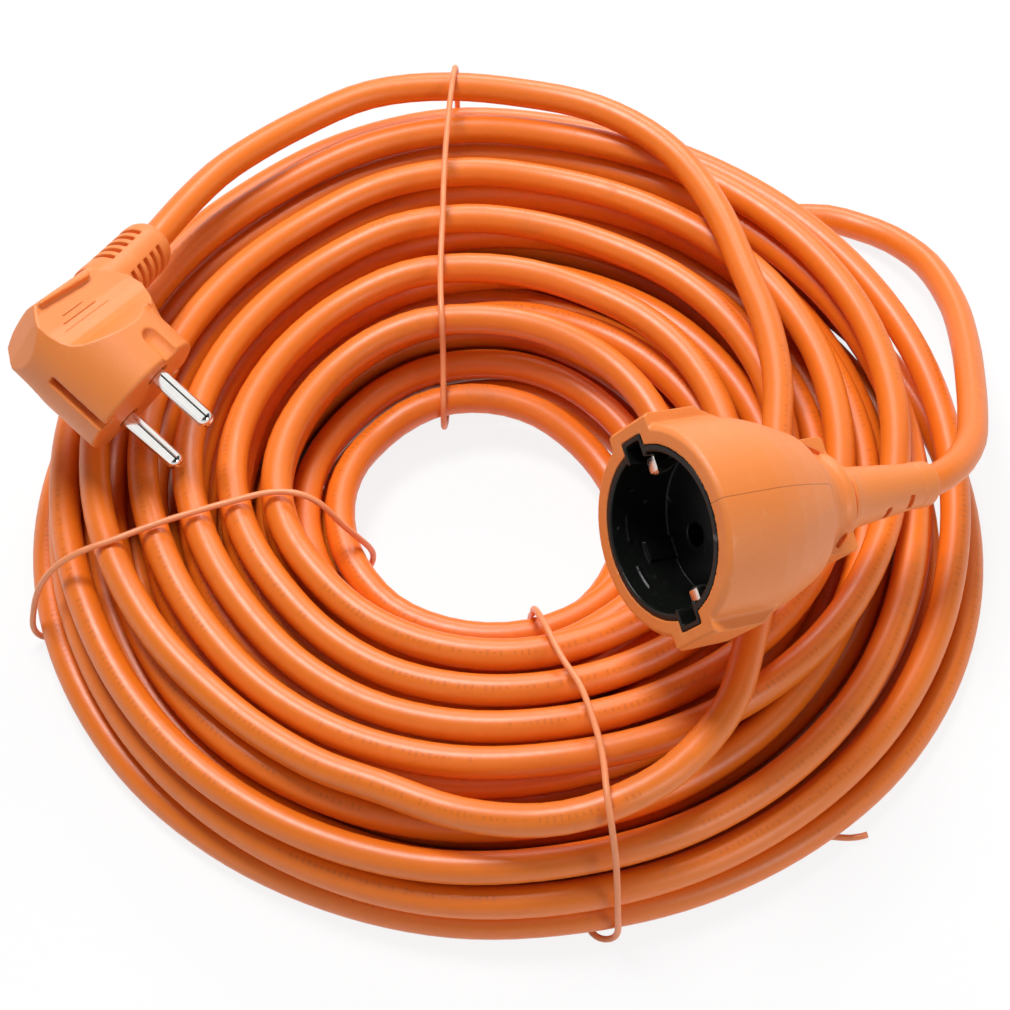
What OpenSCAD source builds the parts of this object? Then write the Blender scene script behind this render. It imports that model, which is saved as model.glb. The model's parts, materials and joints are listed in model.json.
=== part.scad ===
// Extension cord: a round three-core cable wound in a loose four-layer coil,
// an earthed two-pin plug with an angled exit, a single earthed socket and three wire ties.
// Millimetres, +Z up. The origin is on the floor, below the middle of the whole outline.

/* [Cable] */
// outer diameter of the round cable
cable_d = 8.4; // [8:0.1:8.6]
// free height between two stacked layers of the coil
layer_gap = 0.5; // [0.5:0.05:0.8]
// diameter of one insulated core inside the plug and the socket
core_d = 2.4; // [2:0.1:2.6]
// radial play between the cable and the bore it runs through
cable_play = 0.2; // [0.1:0.05:0.3]

/* [Ties] */
// diameter of the coated tie wire
tie_d = 1.7; // [1.4:0.1:1.8]
// height by which the coil is held up where a tie runs under it
tie_lift = 2.4; // [2.2:0.1:2.6]

/* [Plug] */
// radius of the round front of the plug
plug_r = 18.7; // [18:0.1:19.2]
// length of the round front of the plug
plug_front_l = 15; // [14:0.5:17]
// diameter of each contact pin
pin_d = 4.8; // [4:0.1:4.8]
// length of each pin in front of the plug's face
pin_len = 19; // [18.5:0.1:19.5]
// distance between the two pins
pin_pitch = 19; // [18.5:0.1:19]
// half width of the plug's grip at its rear
grip_half_w = 9.2; // [9:0.1:10]
// length of the plug's ribbed sleeve
plug_sleeve_l = 28; // [24:1:30]
// width of the earth slot in the plug's rim
earth_slot_w = 3; // [2.4:0.1:4]
// radius of the guide groove on each side of the plug
groove_r = 3.2; // [2.8:0.1:3.4]

/* [Socket] */
// outer radius of the socket's barrel
socket_r = 26; // [25.5:0.1:26.5]
// radius of the well that takes a plug
well_r = 19.7; // [19.5:0.1:19.9]
// depth of the well
well_depth = 17.5; // [17:0.1:17.8]
// wall of the dark insert at the mouth of the well
insert_wall = 1.6; // [1.4:0.1:1.8]
// radius of each pin entry in the floor of the well
entry_r = 2.95; // [2.8:0.05:3.1]
// width of the two notches in the mouth of the well
notch_w = 6.2; // [5.6:0.1:6.6]
// length of the socket's barrel from mouth to rear face
barrel_l = 57; // [55:1:60]
// length of the sleeve behind the barrel
socket_sleeve_l = 31; // [28:1:33]

/* [Hidden] */

orange = [0.93, 0.42, 0.12];
tie_orange = [0.95, 0.5, 0.28];
dark = [0.06, 0.06, 0.06];
steel = [0.8, 0.8, 0.78];
brass = [0.75, 0.6, 0.3];
brown = [0.35, 0.18, 0.08];
blue = [0.1, 0.25, 0.7];
earth = [0.55, 0.7, 0.1];

// middle of the outline on the floor, moved to the origin
middle = [-0.6, 5.1, 0];

// ---------- vector helpers ----------
function unit(v) = v / norm(v);
function ramp(u) = let (c = max(0, min(1, u))) c * c * (3 - 2 * c);
function turn_x(a, p) = [p[0], p[1] * cos(a) - p[2] * sin(a), p[1] * sin(a) + p[2] * cos(a)];
function turn_y(a, p) = [p[0] * cos(a) + p[2] * sin(a), p[1], p[2] * cos(a) - p[0] * sin(a)];
function turn_z(a, p) = [p[0] * cos(a) - p[1] * sin(a), p[0] * sin(a) + p[1] * cos(a), p[2]];
function place(at, ang, p) = at + turn_z(ang[2], turn_y(ang[1], turn_x(ang[0], p)));

// ---------- tubes ----------
// one ring of n points round c, square to the direction t, first point on the side s
function ring(c, t, s, r, n) = let (u = cross(s, t))
  [for (i = [0 : n - 1]) c + r * cos(i * 360 / n) * s + r * sin(i * 360 / n) * u];
function level_side(t) = unit(cross(t, [0, 0, 1]));
function fixed_side(t, ref) = unit(ref - (ref * t) * t);
function heading(p, i) =
  i == 0 ? unit(p[1] - p[0]) :
  i == len(p) - 1 ? unit(p[i] - p[i - 1]) :
  unit(unit(p[i + 1] - p[i]) + unit(p[i] - p[i - 1]));
function on_floor(p) = [p[0], p[1], max(0, p[2])];
function side_faces(m, n) = [for (i = [0 : m - 2]) for (k = [0 : n - 1])
  let (a = i * n + k, b = i * n + (k + 1) % n, c = b + n, d = a + n)
  each [[a, b, c], [a, c, d]]];
function end_faces(m, n) = [for (k = [1 : n - 2])
  each [[0, k + 1, k], [(m - 1) * n, (m - 1) * n + k, (m - 1) * n + k + 1]]];
module level_tube(p, r, n) {
  pts = [for (i = [0 : len(p) - 1]) let (t = heading(p, i))
    each [for (q = ring(p[i], t, level_side(t), r, n)) on_floor(q)]];
  polyhedron(points = pts, faces = concat(side_faces(len(p), n), end_faces(len(p), n)));
}
module tie_tube(p, ref, r, n) {
  pts = [for (i = [0 : len(p) - 1]) let (t = heading(p, i))
    each [for (q = ring(p[i], t, fixed_side(t, ref), r, n)) on_floor(q)]];
  polyhedron(points = pts, faces = concat(side_faces(len(p), n), end_faces(len(p), n)));
}

// ---------- the coil's path ----------
// turns at which the spiral reverses, counted from the plug's end, top layer first
turns = [0, 4.6, 10.6, 17.52, 563 / 24];
spiral_r = [116, 51, 129, 37, 131];
shift_x = [1, -5, -2, -6, 3];
shift_y = [13, -5, 5, -4, -3];
oval = [0, 0, 3, 0, -3];
coil_start = -128;
rings_per_turn = 24;
layer_pitch = cable_d + layer_gap;
floor_cut = cable_d / 10;
layer_1_z = cable_d / 2 - floor_cut;
top_z = layer_1_z + 3 * layer_pitch;
// compass direction, flat half width and full half width of each rise over a tie
rises = [[103, 12, 42], [-162, 12, 42], [-64, 34, 66]];
function rise_one(p, q) = let (u = [cos(q[0]), sin(q[0])],
  along = p[0] * u[0] + p[1] * u[1], off = abs(p[1] * u[0] - p[0] * u[1]))
  (1 - ramp((off - q[1]) / (q[2] - q[1]))) * ramp(along / 36);
function rise(p) = tie_lift * max([for (q = rises) rise_one(p, q)]);
function at_turn(t, v) = lookup(t, [for (i = [0 : 4]) [turns[i], v[i]]]);
function layer_z(t) = top_z - layer_pitch * (ramp((t - turns[1] + 0.25) / 0.5)
  + ramp((t - turns[2] + 0.25) / 0.5) + ramp((t - turns[3] + 0.25) / 0.5));
function coil_at(t) = let (a = coil_start - 360 * t,
  r = at_turn(t, spiral_r) - at_turn(t, oval) * cos(2 * a),
  x = at_turn(t, shift_x) + r * cos(a), y = at_turn(t, shift_y) + r * sin(a))
  [x, y, layer_z(t) + rise([x, y])];
coil_rings = round(turns[4] * rings_per_turn);
loops = [for (i = [0 : coil_rings]) coil_at(i / rings_per_turn)];
first_way = unit(loops[1] - loops[0]);
last_way = unit(loops[coil_rings] - loops[coil_rings - 1]);
coil_head = loops[0] - cable_d * first_way;
coil_tail = loops[coil_rings] + cable_d * last_way;
coil_path = concat([coil_head], loops, [coil_tail]);
function len_of(p) = sum_to([for (i = [1 : len(p) - 1]) norm(p[i] - p[i - 1])]);
function sum_to(v) = v * [for (x = v) 1];
// least distance between the surfaces of two turns, at least 60 mm apart along the cable
near_rings = 5;
function least_gap(p, skip) = min([for (i = [0 : len(p) - 1 - skip])
  min([for (j = [i + skip : len(p) - 1]) norm(p[i] - p[j])])]) - cable_d;
function gap_between(p, q) = min([for (a = p) min([for (b = q) norm(a - b)])]) - cable_d;

// ---------- where the plug and the socket lie ----------
plug_at = [-97, 3.9, 54];
plug_ang = [-111.7, 21.7, -37.4];
socket_at = [36.3, -60.9, 84];
socket_ang = [65.5, -21.9, 208.2];
module in_plug() { translate(plug_at) rotate(plug_ang) children(); }
module in_socket() { translate(socket_at) rotate(socket_ang) children(); }
module about_x() { rotate([0, 90, 0]) children(); }

// the plug's cable leaves across the pins, tilted back by this angle
exit_tilt = 7;
exit_way = [-sin(exit_tilt), 0, cos(exit_tilt)];
exit_across = [cos(exit_tilt), 0, sin(exit_tilt)];
seat = [-29.8, 0, 19.3];
cable_in_plug = 9;
plug_mouth = seat + plug_sleeve_l * exit_way;
cable_end_in_plug = seat - cable_in_plug * exit_way;
function plug_world(p) = place(plug_at, plug_ang, p);
function socket_world(p) = place(socket_at, socket_ang, p);

// ---------- free stretches of the cable ----------
over_coil = top_z + layer_pitch;
// x, y and height above the lie on top of the coil
plug_lead_points = [[-50, -93.5, -8], [-32, -101.5, -7], [-12, -110, -5.5], [8, -114, -3],
  [24, -111.5, -0.6], [40.5, -102, 0.3], [54.5, -84.5, 0.3], [61, -64.5, 0.2], [66, -42.5, 0.2],
  [69.5, -19, 0.2], [72, 2, 0.2], [73.5, 22, 0.2], [71.5, 42, 0.2], [66.5, 61, 0.2],
  [60.5, 82, 0.2], [51.5, 101, 0.2], [40.5, 114, 0.3], [26, 123.5, 0.6], [9.5, 128.5, 0.8],
  [-17.5, 130, 0.8], [-41, 126, 1.5], [-61.5, 114.5, 3], [-80.5, 96, 6], [-90, 81, 8.5]];
plug_lead_path = concat([coil_head],
  [for (p = plug_lead_points) [p[0], p[1], over_coil + p[2] + rise(p)]],
  [plug_world(plug_mouth), plug_world(seat), plug_world(cable_end_in_plug)]);
// x, y and height above the lowest layer's middle line
socket_lead_points = [[72, 112.3, 0], [85, 112, 0], [97, 111.5, 0.2], [106, 108, 0.6],
  [115.5, 101, 2.6], [124.5, 88, 6.1], [129.5, 68, 11.6], [130, 47.5, 18.1], [128.5, 28, 25],
  [126.5, 12.5, 31], [124, 0, 36], [119.5, -10, 40.5], [114.5, -17, 44.2]];
cable_in_socket = 7;
socket_mouth = [-barrel_l - socket_sleeve_l, 0, 0];
socket_lead_path = concat([coil_tail],
  [for (p = socket_lead_points) [p[0], p[1], layer_1_z + p[2]]],
  [socket_world(socket_mouth), socket_world([-barrel_l, 0, 0]),
   socket_world([-barrel_l + cable_in_socket, 0, 0])]);
lead_sides = 8;

module cable_coil() { color(orange) level_tube(coil_path, cable_d / 2, 6); }
module plug_lead() { color(orange) level_tube(plug_lead_path, cable_d / 2, lead_sides); }
module socket_lead() { color(orange) level_tube(socket_lead_path, cable_d / 2, lead_sides); }

// ---------- ties ----------
floor_wire = tie_d / 2 + 0.1;
far_points = [[-14.3, 116, floor_wire], [-14.8, 127, 1.2], [-15.3, 136, 8], [-15.6, 139, 22],
  [-15.7, 138.5, 36], [-15.8, 135.5, 45], [-16.2, 130.5, 48.3], [-17.4, 118, 46.4],
  [-18.6, 98, 43.8], [-19, 78, 41.2], [-19.4, 62, 38.8], [-19.1, 49.5, 38.6], [-18.8, 44, 36.8],
  [-18.6, 41.4, 31.5], [-18.5, 37, 24.5], [-18.5, 30, 19.4], [-18.5, 26.6, 14.2], [-18.5, 28, 9],
  [-18.3, 32.5, 4.2], [-18, 37.6, 1.2], [-18.2, 47, floor_wire], [-18.2, 85, floor_wire],
  [-17.6, 112, floor_wire], [-18, 121, floor_wire]];
left_points = [[-113, -33, floor_wire], [-123.5, -38, floor_wire], [-127.5, -38.5, 2.2],
  [-128.8, -38.5, 6.5], [-128, -38, 12], [-125.5, -37, 22], [-120.5, -35.8, 31],
  [-113, -34, 36.5], [-104, -31, 37.8], [-93.5, -26.5, 38.5], [-83, -22.5, 38.7],
  [-73, -19, 38.7], [-63, -16, 38.7], [-55, -16.5, 38.4], [-50, -18, 36], [-45.5, -19, 29],
  [-40, -19, 20.5], [-37, -18, 13.5], [-37.2, -18, 9], [-40.5, -19.3, 3.6],
  [-46, -20.5, floor_wire], [-75, -22, floor_wire], [-96, -25, floor_wire],
  [-108, -28.5, floor_wire]];
near_points = [[17.6, -119.6, floor_wire], [20.8, -126.6, floor_wire], [23.8, -128.4, 1.2],
  [26.2, -128.7, 2.8], [27.2, -128.7, 6.5], [26.9, -128.6, 12], [26.5, -127.2, 22],
  [25.8, -122.8, 34], [24.4, -117.8, 44], [23.4, -112, 47.6], [22.7, -100, 45.8],
  [20.2, -86.5, 42.9], [17.2, -76, 41], [14.2, -70.5, 39.8], [11.2, -63.5, 39.3],
  [9.2, -57, 37.4], [6.6, -48, 31], [4.6, -41.5, 19.5], [2.8, -37, 10], [2.8, -37.2, 5.5],
  [3.7, -38.6, 1.5], [6, -46, floor_wire], [15, -68.4, floor_wire], [32, -86.5, floor_wire],
  [54, -95.2, floor_wire], [84, -98.6, floor_wire]];
module tie_far() { color(tie_orange) tie_tube(far_points, [1, 0, 0], tie_d / 2, 6); }
module tie_left() { color(tie_orange) tie_tube(left_points, [-0.3, 1, 0], tie_d / 2, 6); }
module tie_near() { color(tie_orange) tie_tube(near_points, [1, 0.3, 0], tie_d / 2, 6); }

// ---------- plug ----------
face_wall = 3;
carrier_r = 14;
carrier_l = 12;
carrier_back = -face_wall - carrier_l;
strap_t = 0.8;
strap_w = 6;
strap_r = carrier_r + strap_t;
pin_root = 8;
pin_root_r = pin_d / 2 - 0.2;
pin_flange_r = pin_d / 2 + 1;
pin_flange_l = 1.5;
fit = 0.05;
bore_r = cable_d / 2 + cable_play;
core_shaft_r = 3.4;
sleeve_root_r = 6.6;
sleeve_root_l = 5;
grip_back = -38;
chamber_back = -34;

module along_exit(from, r, l) {
  translate(seat + from * exit_way) rotate([0, -exit_tilt, 0]) cylinder(r = r, h = l, $fn = 48);
}
module grip_outline() {
  polygon([[-12, 19.3 + 17.8 * tan(exit_tilt) - 3.5], [-21, 19.3 + 8.8 * tan(exit_tilt)],
    [grip_back + 1, 19.3 + (grip_back + 30.8) * tan(exit_tilt)], [grip_back, 10],
    [grip_back, -5], [-35, -15], [-27, -17.5], [-12, -16]]);
}
module grip_plan() {
  side = [[-11, 17.8], [-18, 13], [-26, 11.2], [grip_back + 3.4, grip_half_w],
    [grip_back + 0.8, 5]];
  polygon(concat(side, [[grip_back, 0]], [for (i = [4 : -1 : 0]) [side[i][0], -side[i][1]]]));
}
module grip() {
  intersection() {
    rotate([90, 0, 0]) linear_extrude(height = 2 * plug_r + 2, center = true) grip_outline();
    linear_extrude(height = 3 * plug_r, center = true) grip_plan();
    translate([-11, 0, 0]) rotate([0, -90, 0])
      cylinder(r1 = plug_r - 0.1, r2 = plug_r + 12, h = 28, $fn = 96);
  }
}
module skirt() {
  intersection() {
    rotate([0, -90, 0]) cylinder(r = plug_r, h = 28, $fn = 96);
    rotate([90, 0, 0]) linear_extrude(height = 2 * plug_r + 2, center = true)
      polygon([[-1, 4], [-plug_front_l, 4], [-27, -8], [-27, -22], [-1, -22]]);
  }
}
module finger_ridge() {
  rotate([90, 0, 0]) linear_extrude(height = 2 * (grip_half_w + 2.4), center = true)
    polygon([[-36, -12.5], [-33.4, -14], [-31.6, 7.6], [-34.4, 8.6]]);
}
module fine_lines() {
  for (k = [0 : 2]) for (s = [-1, 1])
    translate([-28 + 2 * k - 0.4, s * 10.9 - 0.8, -7.6 - 2 * k]) cube([0.8, 1.6, 8.2 + 5.3 * k]);
}
module guide_groove(s) {
  translate([-10 + groove_r, s * (plug_r + 0.9), 0]) {
    about_x() cylinder(r = groove_r, h = 14, $fn = 40);
    sphere(r = groove_r, $fn = 40);
  }
}
module pins_at() { for (s = [-1, 1]) translate([0, s * pin_pitch / 2, 0]) children(); }
module strap_space(play) {
  for (s = [-1, 1]) translate([carrier_back - strap_t, -strap_w / 2 - play,
    s > 0 ? carrier_r - play : -strap_r - play])
    cube([-carrier_back + strap_t + (play > 0 ? 1 : -0.6), strap_w + 2 * play, strap_t + 2 * play]);
}

module plug_body() {
  color(orange) in_plug() difference() {
    union() {
      rotate([0, -90, 0]) cylinder(r = plug_r, h = plug_front_l, $fn = 96);
      skirt();
      grip();
      finger_ridge();
      fine_lines();
    }
    guide_groove(1);
    guide_groove(-1);
    for (s = [-1, 1]) translate([-plug_r, -earth_slot_w / 2, s > 0 ? carrier_r : -20.5])
      cube([20, earth_slot_w, 6.5]);
    strap_space(0.1);
    translate([carrier_back - strap_t, 0, 0]) about_x()
      cylinder(r = carrier_r + 0.1, h = carrier_l + strap_t, $fn = 96);
    pins_at() translate([-face_wall - 1, 0, 0]) about_x()
      cylinder(r = pin_d / 2 + 0.6, h = 6, $fn = 48);
    translate([chamber_back, -6.8, -9]) cube([-chamber_back - 15, 13.6, 18]);
    translate([-18.6, -9.4, -4.5]) cube([3.6, 18.8, 9]);
    along_exit(-cable_in_plug - 5, core_shaft_r, 8);
    along_exit(-cable_in_plug, bore_r, cable_in_plug + 1);
    along_exit(-sleeve_root_l - 0.1, sleeve_root_r + 0.1, sleeve_root_l + 1);
  }
}
// flat-bottomed slots across the sleeve, in two rows with a smooth spine between them
slot_wall = 1.3;
slot_floor = bore_r + slot_wall;
module sleeve_cuts(first, step, count, w) {
  for (k = [0 : count - 1]) for (s = [-1, 1])
    translate([s > 0 ? slot_floor : -2 * slot_floor - 4, -slot_floor, first + step * k])
      cube([slot_floor + 4, 2 * slot_floor, w]);
}
module plug_sleeve() {
  color(orange) in_plug() translate(seat) rotate([0, -exit_tilt, 0]) difference() {
    rotate_extrude($fn = 64)
      polygon([[bore_r, -sleeve_root_l], [sleeve_root_r, -sleeve_root_l], [sleeve_root_r, 0],
        [8.6, 0], [8.3, 3], [7.5, plug_sleeve_l - 5], [7.6, plug_sleeve_l - 1.6],
        [7, plug_sleeve_l], [bore_r, plug_sleeve_l]]);
    sleeve_cuts(4.5, 3.8, 5, 1.7);
  }
}
module plug_carrier() {
  color(dark) in_plug() difference() {
    translate([carrier_back, 0, 0]) about_x() cylinder(r = carrier_r, h = carrier_l, $fn = 96);
    for (s = [-1, 1]) translate([-20, -10, s > 0 ? carrier_r - 0.5 : -carrier_r - 4.5])
      cube([20, 20, 5]);
    pins_at() {
      translate([carrier_back - 1, 0, 0]) about_x()
        cylinder(r = pin_root_r + fit, h = carrier_l + 2, $fn = 48);
      translate([-face_wall - pin_flange_l, 0, 0]) about_x()
        cylinder(r = pin_flange_r + fit, h = 3, $fn = 48);
    }
    translate([carrier_back - 1, -12, -3.5]) cube([carrier_l - pin_root + 1, 24, 7]);
  }
}
module pin() {
  rotate([0, 90, 0]) rotate_extrude($fn = 64)
    polygon(concat([[0, -face_wall - pin_root], [pin_root_r, -face_wall - pin_root],
      [pin_root_r, -face_wall - pin_flange_l], [pin_flange_r, -face_wall - pin_flange_l],
      [pin_flange_r, -face_wall], [pin_d / 2 + 0.35, -face_wall],
      [pin_d / 2 + 0.35, 0.4], [pin_d / 2, 0.4]],
      [for (a = [0 : 22.5 : 90]) [pin_d / 2 * cos(a), pin_len - pin_d / 2 + pin_d / 2 * sin(a)]]));
}
module plug_pin_live() { color(steel) in_plug() translate([0, -pin_pitch / 2, 0]) pin(); }
module plug_pin_neutral() { color(steel) in_plug() translate([0, pin_pitch / 2, 0]) pin(); }
module plug_earth_strap() {
  color(steel) in_plug() {
    strap_space(0);
    translate([carrier_back - strap_t, -strap_w / 2, -strap_r]) cube([strap_t, strap_w, 2 * strap_r]);
  }
}
module core_tube(p, ref) {
  pts = [for (i = [0 : len(p) - 1]) let (t = heading(p, i))
    each ring(p[i], t, fixed_side(t, ref), core_d / 2, 12)];
  polyhedron(points = pts, faces = concat(side_faces(len(p), 12), end_faces(len(p), 12)));
}
function core_start(across, y) = cable_end_in_plug + across * exit_across + [0, y, 0];
pin_back = -face_wall - pin_root;
function live_path(s) = [core_start(-0.95, s * 1.65), core_start(-0.95, s * 1.65) - 3 * exit_way,
  [-28.6, s * 2.6, 4], [-26.4, s * 3.6, 1.2], [-22, s * 4.4, 0], [-18, s * 5, 0],
  [-14.6, s * 7.4, 0], [pin_back - 1.6, s * (pin_pitch / 2 - 0.3), 0],
  [pin_back, s * pin_pitch / 2, 0]];
earth_path = [core_start(1.9, 0), core_start(1.9, 0) - 2 * exit_way, [-25, 0, 6.2],
  [-22.4, 0, 5], [-18.6, 0, 4.5], [carrier_back - strap_t, 0, 4.5]];
module plug_core_brown() { color(brown) in_plug() core_tube(live_path(-1), [0, 1, 0]); }
module plug_core_blue() { color(blue) in_plug() core_tube(live_path(1), [0, 1, 0]); }
module plug_core_earth() { color(earth) in_plug() core_tube(earth_path, [0, 1, 0]); }

// ---------- socket ----------
insert_r = well_r + insert_wall;
insert_l = well_depth + 2.5;
cover_r = 19.5;
// the contact sleeves reach past the pins' ends
pin_room = 1.5;
cover_l = pin_len + pin_room - (insert_l - well_depth);
cover_back = -insert_l - cover_l;
chamber_r = 14;
// the room that the cores have between the cable's end and the contacts
core_run = cover_back + barrel_l - cable_in_socket;
chamber_end = -barrel_l + cable_in_socket + core_run / 6;
// the barrel is straight round the well, swells in gently over the cover and draws in behind it
straight_l = 18;
shoulder_x = cover_back - 0.5;
shoulder_r = cover_r + 1.3;
neck_l = 6.5;
rear_r = 11.2;
draw_l = barrel_l - neck_l + shoulder_x;
function waist_at(share) = shoulder_r + (socket_r - shoulder_r) * share;
drawn_in = [for (s = [0 : 0.25 : 1])
  [rear_r + (shoulder_r - rear_r) * (1 - pow(s, 1.25)), shoulder_x - draw_l * s]];
contact_r = 3.2;
contact_bore_r = 2.42;
contact_set_back = 5;
contact_flange_r = 4.2;
bow_t = 0.8;
bow_w = 5;
bow_z = 18.4;
notch_wall = 1.2;
notch_top = 23;
notch_l = 12;
pad_top = 28.4;

module notch_block(w, top, l) {
  for (s = [-1, 1]) translate([-l, -w / 2, s > 0 ? 15 : -top]) cube([l + 1, w, top - 15]);
}
module pads() {
  for (s = [-1, 1]) rotate([90, 0, 0]) linear_extrude(height = 16, center = true)
    polygon([[0, s * 20], [0, s * pad_top], [-16, s * pad_top], [-22, s * 24.2], [-22, s * 20]]);
}
module rear_tab() {
  for (s = [-1, 1]) translate([-barrel_l + 5, -8.2, s > 0 ? 7 : -14.8]) cube([12, 16.4, 7.8]);
}
module socket_housing() {
  color(orange) in_socket() difference() {
    union() {
      rotate([0, 90, 0]) rotate_extrude($fn = 96)
        polygon(concat([[0, 0], [socket_r - 0.8, 0], [socket_r, -0.8], [socket_r, -straight_l],
          [waist_at(0.83), -24], [waist_at(0.56), -30.5], [waist_at(0.19), -36]], drawn_in,
          [[9, neck_l - barrel_l - 0.6], [8.8, -barrel_l], [0, -barrel_l]]));
      pads();
      rear_tab();
    }
    translate([-insert_l, 0, 0]) about_x() cylinder(r = insert_r + 0.1, h = insert_l + 1, $fn = 96);
    notch_block(notch_w + 2 * notch_wall + 0.2, notch_top + notch_wall + 0.1, notch_l + 1.3);
    translate([cover_back, 0, 0]) about_x() cylinder(r = cover_r + 0.1, h = cover_l + 1, $fn = 96);
    translate([chamber_end, 0, 0]) about_x()
      cylinder(r1 = chamber_r - 4, r2 = chamber_r, h = cover_back - chamber_end + 1, $fn = 64);
    translate([-barrel_l - 1, 0, 0]) about_x()
      cylinder(r = bore_r, h = cable_in_socket + 1, $fn = 48);
    translate([-barrel_l, 0, 0]) about_x() cylinder(r = core_shaft_r, h = 14, $fn = 48);
    translate([-barrel_l - 1, 0, 0]) about_x()
      cylinder(r = sleeve_root_r + 0.1, h = 4.1, $fn = 48);
  }
}
module socket_sleeve() {
  color(orange) in_socket() translate([-barrel_l, 0, 0]) rotate([0, -90, 0]) difference() {
    rotate_extrude($fn = 64)
      polygon([[bore_r, -3], [sleeve_root_r, -3], [sleeve_root_r, 0], [8.4, 0], [7.8, 3],
        [6.4, socket_sleeve_l - 8], [5.9, socket_sleeve_l - 5], [6.1, socket_sleeve_l - 4.4],
        [5.9, socket_sleeve_l], [bore_r, socket_sleeve_l]]);
    for (k = [0, 1]) translate([-2, -9, socket_sleeve_l - 14 + 7 * k])
      rotate([0, 25, 0]) cube([7, 4, 1.6]);
  }
}
module socket_insert() {
  color(dark) in_socket() difference() {
    union() {
      translate([-insert_l, 0, 0]) about_x() cylinder(r = insert_r, h = insert_l, $fn = 96);
      intersection() {
        notch_block(notch_w + 2 * notch_wall, notch_top + notch_wall, notch_l + notch_wall);
        translate([-2 * notch_l, -pad_top, -pad_top]) cube([2 * notch_l, 2 * pad_top, 2 * pad_top]);
      }
    }
    difference() {
      translate([-well_depth, 0, 0]) about_x() cylinder(r = well_r, h = well_depth + 1, $fn = 96);
      for (s = [-1, 1]) translate([-well_depth - 1, s > 0 ? 17.6 : -21.6, -2.5])
        cube([well_depth - 4, 4, 5]);
    }
    notch_block(notch_w, notch_top, notch_l);
    pins_at() translate([-insert_l - 1, 0, 0]) about_x() cylinder(r = entry_r, h = 5, $fn = 48);
    for (s = [-1, 1]) translate([-insert_l - 1, -bow_w / 2 - 0.1, s > 0 ? bow_z - bow_t - 0.1
      : -bow_z - 0.1]) cube([5, bow_w + 0.2, bow_t + 0.2]);
  }
}
module socket_contact_cover() {
  color(dark) in_socket() difference() {
    translate([cover_back, 0, 0]) about_x() cylinder(r = cover_r, h = cover_l, $fn = 96);
    pins_at() {
      translate([cover_back - 1, 0, 0]) about_x()
        cylinder(r = contact_r + fit, h = cover_l + 2, $fn = 48);
      translate([cover_back - 1, 0, 0]) about_x()
        cylinder(r = contact_flange_r + fit, h = 2, $fn = 48);
    }
    translate([-insert_l - bow_t - 0.1, -bow_w / 2 - 0.1, -bow_z - 0.1])
      cube([2, bow_w + 0.2, 2 * bow_z + 0.2]);
    translate([cover_back - 1, 0, 0]) about_x()
      cylinder(r = core_d / 2 + 0.3, h = cover_l + 2, $fn = 32);
  }
}
module contact() {
  translate([cover_back, 0, 0]) difference() {
    union() {
      about_x() cylinder(r = contact_r, h = cover_l - contact_set_back, $fn = 48);
      about_x() cylinder(r = contact_flange_r, h = 1, $fn = 48);
    }
    translate([1, 0, 0]) about_x() cylinder(r = contact_bore_r, h = cover_l, $fn = 48);
  }
}
module socket_contact_live() { color(brass) in_socket() translate([0, -pin_pitch / 2, 0]) contact(); }
module socket_contact_neutral() { color(brass) in_socket() translate([0, pin_pitch / 2, 0]) contact(); }
module socket_earth_bow() {
  color(steel) in_socket() {
    translate([-insert_l - bow_t, -bow_w / 2, -bow_z]) cube([bow_t, bow_w, 2 * bow_z]);
    for (s = [-1, 1]) {
      translate([-insert_l - bow_t, -bow_w / 2, s > 0 ? bow_z - bow_t : -bow_z])
        cube([insert_l + bow_t - 4, bow_w, bow_t]);
      translate([-4.8, -bow_w / 2, s > 0 ? bow_z - bow_t : -bow_z - 1.6])
        cube([0.8, bow_w, bow_t + 1.6]);
    }
  }
}
function socket_core_start(y, z) = [-barrel_l + cable_in_socket, y, z];
function socket_live_path(s) = [socket_core_start(s * 1.65, -0.95),
  socket_core_start(s * 1.65, -0.95) + [core_run * 5 / 24, 0, 0],
  [cover_back - core_run * 13 / 24, s * 4.2, -0.6],
  [cover_back - core_run / 4, s * (pin_pitch / 2 - 1.1), -0.1],
  [cover_back, s * pin_pitch / 2, 0]];
socket_earth_path = [socket_core_start(0, 1.9), socket_core_start(0, 1.9) + [core_run / 4, 0, 0],
  [cover_back - core_run / 3, 0, 0.3], [cover_back, 0, 0], [-insert_l - bow_t, 0, 0]];
module socket_core_brown() { color(brown) in_socket() core_tube(socket_live_path(-1), [0, 0, 1]); }
module socket_core_blue() { color(blue) in_socket() core_tube(socket_live_path(1), [0, 0, 1]); }
module socket_core_earth() { color(earth) in_socket() core_tube(socket_earth_path, [0, 0, 1]); }

echo(coil_length_mm = len_of(coil_path), plug_lead_mm = len_of(plug_lead_path),
  socket_lead_mm = len_of(socket_lead_path));
echo(least_gap_coil_mm = least_gap(coil_path, near_rings));
echo(least_gap_plug_lead_mm = gap_between([for (i = [2 : len(plug_lead_path) - 1])
  plug_lead_path[i]], coil_path));
echo(least_gap_socket_lead_mm = gap_between([for (i = [1 : len(socket_lead_path) - 1])
  socket_lead_path[i]], [for (i = [0 : coil_rings - 4]) loops[i]]));

translate(-middle) {
  cable_coil();
  plug_lead();
  socket_lead();
  plug_body();
  plug_sleeve();
  plug_carrier();
  plug_pin_live();
  plug_pin_neutral();
  plug_earth_strap();
  plug_core_brown();
  plug_core_blue();
  plug_core_earth();
  socket_housing();
  socket_sleeve();
  socket_insert();
  socket_contact_cover();
  socket_contact_live();
  socket_contact_neutral();
  socket_earth_bow();
  socket_core_brown();
  socket_core_blue();
  socket_core_earth();
  tie_far();
  tie_left();
  tie_near();
}
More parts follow.
